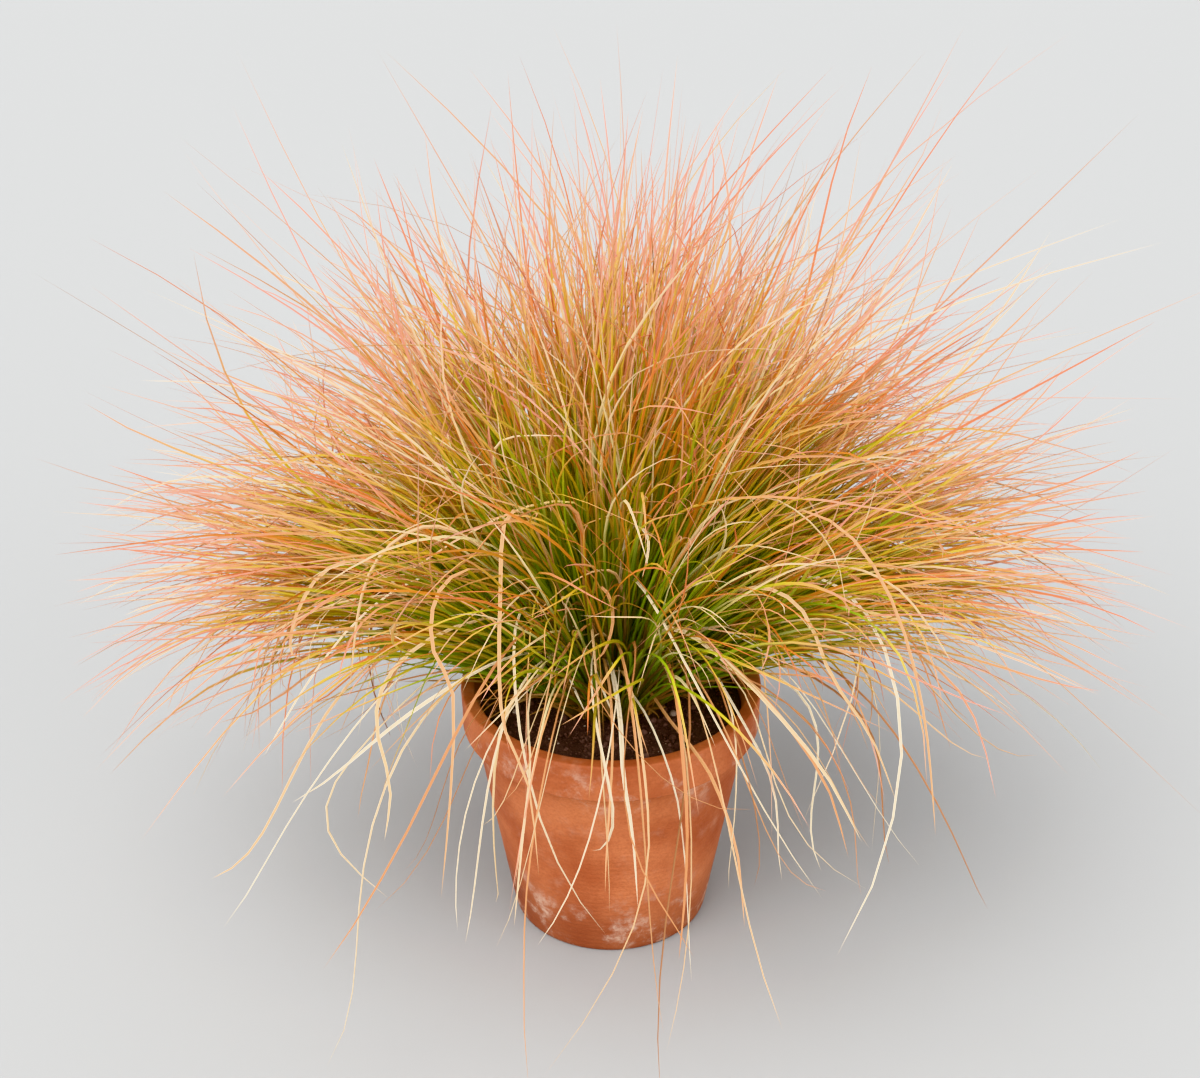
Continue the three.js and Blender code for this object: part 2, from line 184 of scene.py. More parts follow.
class Signal:
    """One output in a material, so that sums on it are written as sums."""

    def __init__(self, look, socket):
        self.look = look
        self.socket = socket

    def math(self, operation, *others):
        return self.look.node("ShaderNodeMath", {"operation": operation}, dict(enumerate([self, *others])))

    def __add__(self, other):
        return self.math("ADD", other)

    __radd__ = __add__

    def __mul__(self, other):
        return self.math("MULTIPLY", other)

    __rmul__ = __mul__

    def __sub__(self, other):
        return self.math("SUBTRACT", other)

    def __rsub__(self, other):
        return self * -1 + other

    def __abs__(self):
        return self.math("ABSOLUTE")

    def rise(self, low, high):
        """0 below low and 1 above high, easing in between. Low and high may be given the other way round."""
        inputs = {"Value": self, "From Min": low, "From Max": high}
        return self.look.node("ShaderNodeMapRange", {"interpolation_type": "SMOOTHSTEP"}, inputs)


class Look:
    """A material in the making."""

    def __init__(self, name, **plain):
        self.material = bpy.data.materials.new(name)
        self.material.use_nodes = True
        self.tree = self.material.node_tree
        self.place = self.node("ShaderNodeTexCoord", output="Object")
        self.shade(plain)

    def shade(self, values):
        """Gives the shader values or signals by the names of its inputs, with _ for a space."""
        shader = self.tree.nodes["Principled BSDF"]
        self.feed(shader, {name.replace("_", " "): value for name, value in values.items()})

    def feed(self, node, inputs):
        for name, value in inputs.items():
            if isinstance(value, Signal):
                self.tree.links.new(value.socket, node.inputs[name])
            else:
                node.inputs[name].default_value = value

    def node(self, kind, settings=None, inputs=None, output=0):
        """Adds any node: its settings first, then the values or signals of its inputs."""
        node = self.tree.nodes.new(kind)
        for name, value in (settings or {}).items():
            if name == "stops":
                ramp = node.color_ramp.elements
                while len(ramp) < len(value):
                    ramp.new(0.5)
                for stop, (at, colour) in zip(ramp, value):
                    stop.position = at
                    stop.color = colour
            else:
                setattr(node, name, value)
        self.feed(node, inputs or {})
        return Signal(self, node.outputs[output])

    def noise(self, scale, detail=2, roughness=0.5):
        inputs = {"Vector": self.place, "Scale": scale, "Detail": detail, "Roughness": roughness}
        return self.node("ShaderNodeTexNoise", inputs=inputs)

    def axis(self, letter):
        return self.node("ShaderNodeSeparateXYZ", inputs={"Vector": self.place}, output=letter)

    def fact(self, name):
        """A number that each point of the piece has been told."""
        return self.node("ShaderNodeAttribute", {"attribute_name": name}, output="Fac")

    def ramp(self, value, *stops):
        """The colour that a value from 0 to 1 has among stops, each a place and its colour."""
        return self.node("ShaderNodeValToRGB", {"stops": stops}, {"Fac": value})

    def mix(self, amount, under, over):
        return self.node("ShaderNodeMix", {"data_type": "RGBA"}, {0: amount, 6: under, 7: over}, 2)

    def finish(self, **varying):
        """Feeds the shader what changes over the surface. relief is a height in metres for its bumps."""
        relief = varying.pop("relief", None)
        if relief is not None:
            inputs = {"Height": relief, "Strength": 1.0, "Distance": 1.0}
            varying["Normal"] = self.node("ShaderNodeBump", inputs=inputs)
        self.shade(varying)


fired = Look("fired_clay", IOR=1.4)
height = fired.axis("Z")
mottle = fired.noise(11, 6, 0.6)
cloud = fired.noise(4.2, 3)
grain = fired.noise(420, 3)
clay = fired.mix(mottle.rise(0.32, 0.7), tone(161, 84, 52), tone(196, 118, 78))
clay = fired.mix(grain.rise(0.35, 0.75) * 0.22, clay, tone(122, 62, 42))
damp = (height + cloud * 0.09).rise(0.135, 0.065)
clay = fired.mix(damp * 0.5, clay, tone(112, 58, 40))
below_band = (height + mottle * 0.03).rise(band_bottom - 0.02, band_bottom + 0.012)
above_band = (height + mottle * 0.012).rise(POT_HEIGHT + 0.004, POT_HEIGHT - 0.014)
bloom = fired.noise(26, 8, 0.72).rise(0.5, 0.72)
bloom = bloom * ((height + cloud * 0.05).rise(0.11, 0.05) * 0.75 + below_band * above_band * 0.5 + 0.16)
clay = fired.mix(bloom, clay, tone(214, 186, 164))
rings = (height * 1150 + cloud * 3).math("SINE")
fired.finish(
    Base_Color=clay,
    Roughness=0.74 + bloom * 0.2 - damp * 0.1,
    relief=grain * 0.00022 + mottle * 0.0009 + rings * 0.00005,
)
pot.data.materials.append(fired.material)
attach(pot, "root")
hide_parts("pot")


# The potting soil is damp, dark and crumbly, and fills the pot to a finger's breadth below the rim. It has
# settled a little lower along the wall, and rises towards the crown of the clump.
SOIL_TOP = 220 * MM
SOIL_GAP = 0.7 * MM
FLOOR_GAP = 0.3 * MM
SOIL_SIDES = 120
SOIL_RINGS = 44
SETTLED = 2.5 * MM
MOUND = 3.0 * MM
SOIL_SHOULDER = 4 * MM
LOOSE_DEPTH = 3 * MM
LUMPS = ((24 * MM, 5 * MM), (7 * MM, 3.4 * MM))  # the size of the lumps in the soil, and their height


def pot_inside(at):
    """The inner radius of the pot at a height."""
    return INNER_BASE + (INNER_TOP - INNER_BASE) * (at - POT_FLOOR) / (POT_HEIGHT - POT_FLOOR)


soil_edge = pot_inside(SOIL_TOP) - SOIL_GAP
soil_shoulder = SOIL_TOP - SOIL_SHOULDER


def soil_level(share):
    """The height of the soil's surface at a share of the way from the middle to the edge."""
    return SOIL_TOP - SETTLED + MOUND * (1 - share**2)


surface = [(soil_edge * share, soil_level(share)) for share in np.linspace(0.985, 0.02, SOIL_RINGS)]
soil = throw(
    "potting_soil_bed",
    SOIL_SIDES,
    [
        (pot_inside(POT_FLOOR) - SOIL_GAP, POT_FLOOR + FLOOR_GAP),
        (pot_inside(soil_shoulder) - SOIL_GAP, soil_shoulder),
        *surface,
    ],
)
top = soil.vertex_groups.new(name="surface")
loose = [v.index for v in soil.data.vertices if v.co.z > SOIL_TOP - LOOSE_DEPTH]
top.add(loose, 1.0, "REPLACE")
for scale, strength in LUMPS:
    lumps = bpy.data.textures.new("lumps", "CLOUDS")
    lumps.noise_scale = scale
    pattern = {"texture": lumps, "texture_coords": "LOCAL", "direction": "Z", "vertex_group": "surface"}
    finish_with(soil, "DISPLACE", strength=strength, mid_level=0.5, **pattern)


def crumb(name, seed, fineness, roughness):
    """One crumb of soil, a lump with knocked-in sides, to be copied."""
    bpy.ops.object.select_all(action="DESELECT")
    bpy.ops.mesh.primitive_ico_sphere_add(subdivisions=fineness, radius=1)
    piece = start_piece(name)
    bpy.ops.transform.vertex_random(offset=roughness, seed=seed)
    bpy.ops.object.mode_set(mode="OBJECT")
    return piece


class Copies:
    """A modelled shape ready to be copied: its points, its faces and its own map, as arrays."""

    def __init__(self, piece):
        mesh = piece.data
        self.points = np.empty(len(mesh.vertices) * 3)
        mesh.vertices.foreach_get("co", self.points)
        self.points = self.points.reshape(-1, 3)
        self.corners = np.empty(len(mesh.loops), int)
        mesh.loops.foreach_get("vertex_index", self.corners)
        self.starts = np.empty(len(mesh.polygons), int)
        mesh.polygons.foreach_get("loop_start", self.starts)
        self.map = None
        if mesh.uv_layers:
            self.map = np.empty(len(mesh.loops) * 2)
            mesh.uv_layers.active.data.foreach_get("uv", self.map)
            self.map = self.map.reshape(-1, 2)
        bpy.data.objects.remove(piece)


CELL_HEIGHT = 2.6  # each copy's cell in the map is this many times as high as wide
CELL_MARGIN = 0.04


def joined(name, groups):
    """One piece out of groups of copies. Each group is (shape, placed points for every copy, facts), where a
    fact is a number for each copy, or for each point of each copy, that the materials read by its name."""
    points, corners, starts, maps = [], [], [], []
    facts = {}
    point_count, corner_count, map_top = 0, 0, 0
    mapped = sum(placed.size for shape, placed, told in groups)
    for shape, placed, told in groups:
        copies, size = placed.shape[:2]
        offsets = np.arange(copies)[:, None]
        points.append(placed.reshape(-1, 3))
        corners.append((shape.corners + offsets * size).ravel() + point_count)
        starts.append((shape.starts + offsets * len(shape.corners)).ravel() + corner_count)
        for fact, values in told.items():
            facts.setdefault(fact, []).append(np.broadcast_to(values, (copies, size)).ravel())
        if shape.map is not None:
            band = placed.size / mapped
            across = math.ceil(math.sqrt(copies * CELL_HEIGHT / band))
            up = math.ceil(copies / across)
            cell = np.stack([offsets % across, offsets // across], axis=2)
            inset = CELL_MARGIN + (1 - 2 * CELL_MARGIN) * shape.map
            spots = (cell + inset) / [across, up / band] + [0, map_top]
            maps.append(spots.reshape(-1, 2))
            map_top += band
        point_count += copies * size
        corner_count += copies * len(shape.corners)
    mesh = bpy.data.meshes.new(name)
    mesh.vertices.add(point_count)
    mesh.vertices.foreach_set("co", np.concatenate(points).ravel())
    mesh.loops.add(corner_count)
    mesh.loops.foreach_set("vertex_index", np.concatenate(corners))
    mesh.polygons.add(sum(len(part) for part in starts))
    mesh.polygons.foreach_set("loop_start", np.concatenate(starts))
    for fact, values in facts.items():
        mesh.attributes.new(fact, "FLOAT", "POINT").data.foreach_set("value", np.concatenate(values))
    mesh.update(calc_edges=True)
    if maps:
        mesh.uv_layers.new(name="OFBake").data.foreach_set("uv", np.concatenate(maps).ravel())
    piece = bpy.data.objects.new(name, mesh)
    bpy.context.collection.objects.link(piece)
    return piece


CRUMB_SHAPES = 3
FINE_CRUMBS = 2600
FINE_CRUMB_SIZES = (0.7 * MM, 1.82 * MM)
BIG_CRUMBS = 371
BIG_CRUMB_SIZES = (1.54 * MM, 4.6 * MM)
CRUMB_LIFT = 0.15  # how far a crumb's middle lies above the soil, as a share of its size
WALL_CLEARANCE = 4 * MM
GRIT_SHARE = 0.025
fine_crumbs = [Copies(crumb("fine_crumb", seed, 1, 0.28)) for seed in range(CRUMB_SHAPES)]
big_crumbs = [Copies(crumb("big_crumb", seed, 2, 0.16)) for seed in range(CRUMB_SHAPES)]
digging = np.random.default_rng(11)
groups = []
for shapes, (low, high), count in (
    (fine_crumbs, FINE_CRUMB_SIZES, FINE_CRUMBS),
    (big_crumbs, BIG_CRUMB_SIZES, BIG_CRUMBS),
):
    for shape in shapes:
        n = count // CRUMB_SHAPES
        away = (soil_edge - WALL_CLEARANCE) * np.sqrt(digging.uniform(0.1, 1, n))
        azimuth = digging.uniform(0, math.tau, n)
        x, y = away * np.sin(azimuth), away * np.cos(azimuth)
        size = low + (high - low) * digging.random(n) ** 2.5
        squash = digging.uniform(0.6, 1.1, (n, 1, 3))
        turn = digging.uniform(0, math.tau, n)
        lump = shape.points * squash * size[:, None, None]
        cos, sin = np.cos(turn)[:, None], np.sin(turn)[:, None]
        lump_x = lump[..., 0] * cos - lump[..., 1] * sin
        lump_y = lump[..., 0] * sin + lump[..., 1] * cos
        spun = np.stack([lump_x, lump_y, lump[..., 2]], axis=2)
        centre = np.stack([x, y, soil_level(away / soil_edge) + size * CRUMB_LIFT], axis=1)
        pale = (digging.random(n) < GRIT_SHARE)[:, None]
        groups.append((shape, spun + centre[:, None], {"tint": digging.random(n)[:, None], "pale": pale}))
crumbs = joined("potting_soil_crumbs", groups)

earth = Look("damp_soil", Roughness=0.92, IOR=1.35)
tint = earth.fact("tint")
pale = earth.fact("pale")
patch = earth.noise(70, 5, 0.65)
grains = earth.noise(900, 3, 0.6)
ground = earth.mix((tint * 0.45 + patch * 0.75).rise(0.2, 0.85), tone(58, 42, 38), tone(122, 96, 88))
ground = earth.mix(grains.rise(0.45, 0.8) * 0.5, ground, tone(142, 116, 104))
ground = earth.mix(pale * 0.75, ground, tone(196, 178, 160))
earth.finish(Base_Color=ground, relief=grains * 0.0006 + patch * 0.002)
for piece in (soil, crumbs):
    piece.data.materials.append(earth.material)
    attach(piece, "root")
    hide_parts("potting_soil")
soil.select_set(True)
bpy.context.view_layer.objects.active = soil
bpy.ops.object.shade_smooth()


# A blade is modelled once, standing up, one unit long and one unit wide at its foot: two halves that fold
# down to a crease, with a keel under them. Every blade of the clump is a bent copy of it.
SEGMENTS = 16
CREASE = -0.13
KEEL = -0.34
FOOT_WIDTH = 0.74
WIDEST_AT = 0.2
TIP_WIDTH = 0.08
STRIP_MARGIN = 0.1


def blade_width(along):
    """Narrow where the blade leaves its sheath, soon at its widest, and drawn in ever faster to the tip."""
    opened = FOOT_WIDTH + (1 - FOOT_WIDTH) * min(along / WIDEST_AT, 1)
    return (opened - TIP_WIDTH) * (1 - along**4.5) ** 0.8 + TIP_WIDTH


def drawn_out(piece, steps, width_at):
    """Draws the selected end of a shape up to one unit's height, following a width."""
    for step in range(1, steps + 1):
        bpy.ops.mesh.extrude_region_move(TRANSFORM_OT_translate={"value": (0, 0, 1 / steps)})
        change = width_at(step / steps) / width_at((step - 1) / steps)
        bpy.ops.transform.resize(value=(change, change, 1), center_override=(0, 0, step / steps))
    return piece


bpy.ops.object.select_all(action="DESELECT")
bpy.ops.mesh.primitive_circle_add(vertices=4, radius=0.5, fill_type="NGON")
for corner in bpy.context.object.data.vertices:
    if abs(corner.co.x) < 0.01:
        corner.co.y = CREASE if corner.co.y > 0 else KEEL
unit_blade = drawn_out(start_piece("unit_blade"), SEGMENTS, blade_width)
bpy.ops.mesh.merge(type="CENTER")
end_piece()


def in_strips(piece, count, middle):
    """Maps a long piece in narrow strips side by side, one for each face of its section."""
    strips = piece.data.uv_layers.new(name="OFBake")
    for face in piece.data.polygons:
        around = (math.atan2(face.center.y - middle, face.center.x) / math.tau + 0.5) * count
        strip = int(around) % count
        corners = [piece.data.vertices[piece.data.loops[loop].vertex_index].co for loop in face.loop_indices]
        turns = [math.atan2(co.y - middle, co.x) / math.tau + 0.5 for co in corners]
        first = min(turns, key=lambda turn: (turn * count - around + count / 2) % count)
        for loop, co, turn in zip(face.loop_indices, corners, turns):
            outer = abs((turn - first + 0.5) % 1 - 0.5) * count > 0.5
            strips.data[loop].uv = ((strip + (1 - STRIP_MARGIN if outer else STRIP_MARGIN)) / count, co.z)


between_crease_and_keel = CREASE * 1.7
in_strips(unit_blade, 4, between_crease_and_keel)
blade_shape = Copies(unit_blade)
blade_rings = np.rint(blade_shape.points[:, 2] * SEGMENTS).astype(int)
blade_across = np.sign(np.round(blade_shape.points[:, 0], 3))
stations = np.linspace(0, 1, SEGMENTS + 1)


# The solids of the frame hold a few hundred of the real clump's thousands of blades. Each is read back here
# as a line: its tip is the only point where three narrow faces meet, and rings of three points lead down
# from it to the sheaths. The foot lies where the last straight piece comes down to the crown.
CROWN_TOP = 224 * MM
FOOT_RISE = 8 * MM
ONE_POINT = 0.01 * MM  # corners nearer to each other than this are one
TIP_LENGTH = 20 * MM  # the least length of a blade's last straight piece
RING_BREADTH = 4 * MM  # the most that a blade's ring of points measures across
END_WEIGHT = 6


def solid_blades(node):
    """The lines of a bunch's blades, from foot to tip, as smooth curves through the corners of the solid."""
    solid = bmesh.new()
    solid.from_mesh(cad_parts[node].data)
    bmesh.ops.remove_doubles(solid, verts=solid.verts, dist=ONE_POINT)
    solid.normal_update()
    lines = []
    for tip in solid.verts:
        ring = [edge.other_vert(tip) for edge in tip.link_edges]
        if len(ring) != 3 or min((v.co - tip.co).length for v in ring) < TIP_LENGTH:
            continue
        line, seen = [tip.co], {tip}
        while len(ring) == 3 and max((v.co - ring[0].co).length for v in ring) < RING_BREADTH:
            seen.update(ring)
            line.append(sum((v.co for v in ring), ring[0].co * 0) / 3)
            below = {f for v in ring for f in v.link_faces if not all(u in seen for u in f.verts)}
            ring = list({e.other_vert(v) for v in ring for e in v.link_edges} - seen)
        way = np.linalg.svd([f.normal for f in below])[2][-1]
        way *= -np.sign(way[2])
        last = np.array(line[-1])
        foot_height = CROWN_TOP + FOOT_RISE * abs(way[2])
        corners = np.array([last + way * (last[2] - foot_height) / -way[2], *line[::-1]])
        gaps = np.linalg.norm(np.diff(corners, axis=0), axis=1)
        at = np.concatenate([[0], np.cumsum(gaps)]) / gaps.sum()
        weight = np.where((at == 0) | (at == 1), END_WEIGHT, 1)
        degree = len(corners) - 2
        curve = np.polyfit(at, corners, degree, w=weight)
        lines.append(sum(term * stations[:, None] ** (degree - k) for k, term in enumerate(curve)))
    solid.free()
    return np.array(lines)


FOOT_SHARE = 0.12  # a blade's lowest stretch, which stands in the crown
OVER_SOIL = 3 * MM
OVER_RIM = 2.5 * MM
OVER_GROUND = 4 * MM
BEFORE_RIM = 2 * MM
BEYOND_RIM = 3 * MM


def clear_of_pot(lines):
    """Which lines pass over the soil, the rim and the ground without touching them."""
    away = np.hypot(lines[..., 0], lines[..., 1])
    floor = np.where(away < RIM_RADIUS + BEYOND_RIM, POT_HEIGHT + OVER_RIM, OVER_GROUND)
    floor = np.where(away < INNER_TOP - BEFORE_RIM, SOIL_TOP + OVER_SOIL, floor)
    return np.all((lines[..., 2] > floor) | (stations <= FOOT_SHARE), axis=1)


BOX_MARGIN = 2 * MM


def kept_in_box(lines):
    """Draws back each line, towards its foot, that would leave the solids' box."""
    low, high = np.array(cad_box[0]) + BOX_MARGIN, np.array(cad_box[1]) - BOX_MARGIN
    arm = lines - lines[:, :1]
    foot = lines[:, :1]
    with np.errstate(divide="ignore", invalid="ignore"):
        room = np.where(arm > 0, (high - foot) / arm, np.where(arm < 0, (low - foot) / arm, np.inf))
    share = np.minimum(1, room.min(axis=(1, 2)))
    return foot + arm * share[:, None, None]


def lengths(arrows):
    """The length of every arrow, kept as an axis of its own, so that the arrows can be divided by it."""
    return np.linalg.norm(arrows, axis=-1, keepdims=True)


FOOT_SPREAD = 2.1 * MM
FIRST_FREEDOM = 0.35
MOST_OF_ANOTHER = 0.5
RIPPLES = (0.7, 1.7)
KINK_PLACES = (0.4, 0.95)
NOT_NOTHING = 1e-9


def varied(guides, copies, draw, shorter, swing, bow, hook, wave, kink, droop):
    """More blades like the guides. The first of each lot stays close to its guide. The others take something
    of another guide, swing aside, bow, wave, droop, hook at the tip and stop short by chance, all as shares
    of their length. A blade that would meet the pot is replaced by its guide."""
    lines = np.repeat(guides, copies, axis=0)
    n = len(lines)
    freedom = np.where(np.arange(n) % copies > 0, 1, FIRST_FREEDOM)[:, None, None]
    foot = lines[:, :1]
    other = guides[draw.integers(len(guides), size=n)]
    share = draw.uniform(0, MOST_OF_ANOTHER, (n, 1, 1)) * freedom
    arm = (lines - foot) * (1 - share) + (other - other[:, :1]) * share
    length = lengths(np.diff(lines, axis=1)).sum(axis=1)[:, None]
    along = stations[None, :, None]
    swung = arm + np.cross(draw.normal(0, swing, (n, 1, 3)) * freedom, arm)
    swung *= lengths(arm) / (lengths(swung) + NOT_NOTHING)
    wild = 0.5 + draw.random((n, 1, 1)) ** 3 * 2.5
    phase = draw.uniform(0, math.tau, (n, 1, 3))
    ripple = np.sin(phase + math.tau * draw.uniform(*RIPPLES, (n, 1, 1)) * along) - np.sin(phase)
    bends = along**2.2 * draw.normal(0, bow, (n, 1, 3))
    bends = bends + along**4.5 * draw.normal(0, hook, (n, 1, 3)) * wild
    bends = bends + along * ripple * draw.normal(0, wave, (n, 1, 3))
    past_kink = np.maximum(along - draw.uniform(*KINK_PLACES, (n, 1, 1)), 0)
    bends = bends + past_kink * draw.normal(0, kink, (n, 1, 3))
    flatness = lengths(arm[:, -1:, :2]) / length
    bends[..., 2:] -= along**3 * droop * draw.random((n, 1, 1)) * flatness
    swung = (swung + length * bends * freedom) * (1 - shorter * draw.random((n, 1, 1)) ** 1.4 * freedom)
    wanted = np.where(clear_of_pot(foot + swung)[:, None, None], foot + swung, lines)
    azimuth = draw.uniform(0, math.tau, n)
    shift = np.stack([np.sin(azimuth), np.cos(azimuth), 0 * azimuth], axis=1) * FOOT_SPREAD
    wanted = wanted + (shift * np.sqrt(draw.random((n, 1))))[:, None] * freedom * (1 - 0.7 * along)
    return kept_in_box(wanted)


def bent_copies(shape, rings, lines, widths, roll, twist):
    """A long shape laid along every line, upper side up, with a roll at its foot and a twist on the way."""
    ways = np.gradient(lines, axis=1)
    ways /= lengths(ways)
    reach = lines[:, -1] - lines[:, 0]
    side = np.stack([-reach[:, 1], reach[:, 0], 0 * reach[:, 0]], axis=1)
    side /= lengths(side) + NOT_NOTHING
    side = side[:, None] - ways * np.sum(ways * side[:, None], axis=2, keepdims=True)
    side /= lengths(side)
    face = np.cross(ways, side)
    angle = (roll[:, None] + twist[:, None] * np.linspace(0, 1, lines.shape[1]))[..., None]
    side, face = side * np.cos(angle) + face * np.sin(angle), face * np.cos(angle) - side * np.sin(angle)
    across, deep = shape.points[:, 0, None], shape.points[:, 1, None]
    offset = side[:, rings] * across + face[:, rings] * deep
    return lines[:, rings] + offset * widths[:, None, None]


BLADE_ROLL = 0.6
BLADE_TWIST = 0.9
BLADE_FOLD = math.radians(24)  # flatter folds than this are shaded smooth
SHADED_FRONT = 0.8  # blades that lean to the front shade one another and stay greener


def blades_piece(name, lines, widths, draw, extra=(), tints=None):
    """A bunch's blades, and what else grows in it, as one piece. Every point is told its place along and
    across its blade, and the tint and the age of that blade."""
    n = len(lines)
    reach = lines[:, -1] - lines[:, 0]
    facing = np.maximum(-reach[:, 1:2] / lengths(reach), 0)
    roll, twist = draw.normal(0, BLADE_ROLL, n), draw.normal(0, BLADE_TWIST, n)
    placed = bent_copies(blade_shape, blade_rings, lines, widths, roll, twist)
    facts = {
        "along": blade_shape.points[:, 2],
        "across": blade_across,
        "tint": draw.random((n, 1)) if tints is None else tints,
        "age": draw.random((n, 1)) - SHADED_FRONT * facing,
    }
    piece = joined(name, [(blade_shape, placed, facts), *extra])
    bpy.ops.object.select_all(action="DESELECT")
    piece.select_set(True)
    bpy.context.view_layer.objects.active = piece
    bpy.ops.object.shade_smooth_by_angle(angle=BLADE_FOLD)
    return piece


# The living blades: green where they leave the crown, then olive and gold, and salmon pink in their outer
# halves, where the light has bleached them. No two ripen alike, and some are russet or pale. They are fewer
# and shorter at the very front, where one looks into the clump. Each grows from a round, brown-footed sheath.
LIVE_WIDTHS = (1.35 * MM, 2.4 * MM)
LIVE_COPIES = 16
LIVE_SHORTER = 0.24
LIVE_HABIT = {"swing": 0.08, "bow": 0.08, "hook": 0.12, "wave": 0.018, "kink": 0.04, "droop": 0.2}
FRONT_THINNING = 1.15
FRONT_SHORTENING = 0.4
SHEATHS_EACH = 3
SHEATH_RADII = (1.5 * MM, 2.2 * MM)
SHEATH_LENGTHS = (40 * MM, 66 * MM)
SHEATH_DEPTH = 7 * MM
SHEATH_LEAN = 0.05
SHEATH_SPREAD = FOOT_SPREAD * 0.75
SHEATH_TAPER = 0.45
SHEATH_SIDES = 6
SHEATH_RINGS = 4
SHEATH_SHARE = 0.13  # of a blade's length, the part whose colours a sheath has

bpy.ops.object.select_all(action="DESELECT")
bpy.ops.mesh.primitive_circle_add(vertices=SHEATH_SIDES, radius=1, fill_type="NGON")
unit_sheath = start_piece("unit_sheath")
drawn_out(unit_sheath, SHEATH_RINGS, lambda along: 1 - SHEATH_TAPER * along**1.5)
end_piece()
in_strips(unit_sheath, SHEATH_SIDES, 0)
sheath_shape = Copies(unit_sheath)
sheath_rings = np.rint(sheath_shape.points[:, 2] * SHEATH_RINGS).astype(int)


def sheaths(guides, draw):
    """The sheaths at the feet of a bunch, as a group to join with its blades."""
    feet = np.repeat(guides, SHEATHS_EACH, axis=0)
    n = len(feet)
    foot = feet[:, 0]
    way = feet[:, 2] - foot
    way /= lengths(way)
    way += draw.normal(0, SHEATH_LEAN, (n, 3))
    foot = foot + draw.normal(0, SHEATH_SPREAD, (n, 3)) * [1, 1, 0] - way * SHEATH_DEPTH
    length = draw.uniform(*SHEATH_LENGTHS, (n, 1, 1))
    lines = foot[:, None] + way[:, None] * length * np.linspace(0, 1, SHEATH_RINGS + 1)[None, :, None]
    none = np.zeros(n)
    placed = bent_copies(sheath_shape, sheath_rings, lines, draw.uniform(*SHEATH_RADII, n), none, none)
    facts = {
        "along": sheath_shape.points[:, 2] * SHEATH_SHARE,
        "across": np.ones(len(sheath_shape.points)),
        "tint": 0.3 + 0.4 * draw.random((n, 1)),
        "age": draw.random((n, 1)),
    }
    return sheath_shape, placed, facts


leaf = Look("sedge_blade", IOR=1.42)
along = leaf.fact("along")
across = leaf.fact("across")
tint = leaf.fact("tint")
age = leaf.fact("age")
mottle = leaf.noise(30, 3)
fleck = leaf.noise(260, 2)
unevenness = along.rise(0.05, 0.35) * (1 - along.rise(0.5, 1) * 0.6)
ripeness = along + (age - 0.5) * 0.36 * unevenness + (mottle - 0.5) * 0.2 * along.rise(0.1, 0.4)
colour = leaf.ramp(
    ripeness,
    (0.0, tone(96, 72, 44)),
    (0.07, tone(98, 92, 32)),
    (0.16, tone(106, 132, 24)),
    (0.36, tone(130, 158, 28)),
    (0.5, tone(160, 168, 42)),
    (0.6, tone(198, 180, 60)),
    (0.7, tone(216, 174, 88)),
    (0.81, tone(214, 158, 112)),
    (0.92, tone(212, 154, 130)),
    (1.0, tone(218, 164, 142)),
)
russet = tint.rise(0.82, 0.92) * along.rise(0.28, 0.62)
colour = leaf.mix(russet * 0.75, colour, tone(204, 104, 50))
rosy = abs(tint - 0.68).rise(0.1, 0.04) * along.rise(0.45, 0.75)
colour = leaf.mix(rosy * 0.6, colour, tone(222, 142, 124))
bleached = tint.rise(0.15, 0.07) * along.rise(0.4, 0.7)
colour = leaf.mix(bleached * 0.75, colour, tone(242, 222, 182))
dull = abs(tint - 0.22).rise(0.07, 0.03) * along.rise(0.35, 0.6)
colour = leaf.mix(dull * 0.6, colour, tone(156, 112, 56))
golden = abs(tint - 0.45).rise(0.14, 0.04) * along.rise(1.1, 0.6) * along.rise(0.3, 0.5)
colour = leaf.mix(golden * 0.6, colour, tone(206, 168, 54))
colour = leaf.mix(fleck.rise(0.52, 0.78) * 0.22, colour, tone(146, 104, 54))
# Painted shade: a darker green line along the crease and the keel of each blade.
crease_and_keel_shade = abs(across).rise(0.3, 0)
colour = leaf.mix(crease_and_keel_shade * 0.3, colour, tone(92, 90, 26))
leaf.finish(Base_Color=colour, Roughness=0.38 + fleck * 0.2, relief=fleck * 0.0001)

bunch_names = sorted(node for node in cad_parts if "bunch" in node)
for number, node in enumerate(bunch_names):
    draw = np.random.default_rng(100 + number)
    guides = solid_blades(node)
    reach = (guides[:, -1] - guides[:, 0]).mean(axis=0)
    frontal = max(-reach[1] / np.linalg.norm(reach), 0)
    copies = max(round(LIVE_COPIES * (1 - FRONT_THINNING * frontal)), 1)
    shorter = LIVE_SHORTER + FRONT_SHORTENING * frontal
    lines = varied(guides, copies, draw, shorter, **LIVE_HABIT)
    widths = draw.uniform(*LIVE_WIDTHS, len(lines))
    bunch = blades_piece(f"{node}_blades", lines, widths, draw, [sheaths(guides, draw)])
    bunch.data.materials.append(leaf.material)
    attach(bunch, "root")
    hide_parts(node)


# The dead blades: dry, bleached to straw with some rust left in them, and too weak to stand, so that they
# fold over and hang outside the clump.
STRAW_WIDTHS = (1.4 * MM, 2.6 * MM)
STRAW_SHORTER = 0.4
STRAW_HABIT = {"swing": 0.3, "bow": 0.16, "hook": 0.25, "wave": 0.08, "kink": 0.16, "droop": 0.1}
STUBS_EACH = 3
STUB_WIDTHS = (1.6 * MM, 3.2 * MM)
STUB_LENGTHS = (35 * MM, 125 * MM)
STUB_SPREAD = FOOT_SPREAD * 2
STUB_LEAN = 0.22
STUB_FLARE = 0.35
STUB_SAG = 0.3
STUB_CURL = 0.12
STUB_ROLL = 1
STUB_TWIST = 1.5
STUB_SHARE = 0.16  # of a blade's length, the part whose colours a stub has


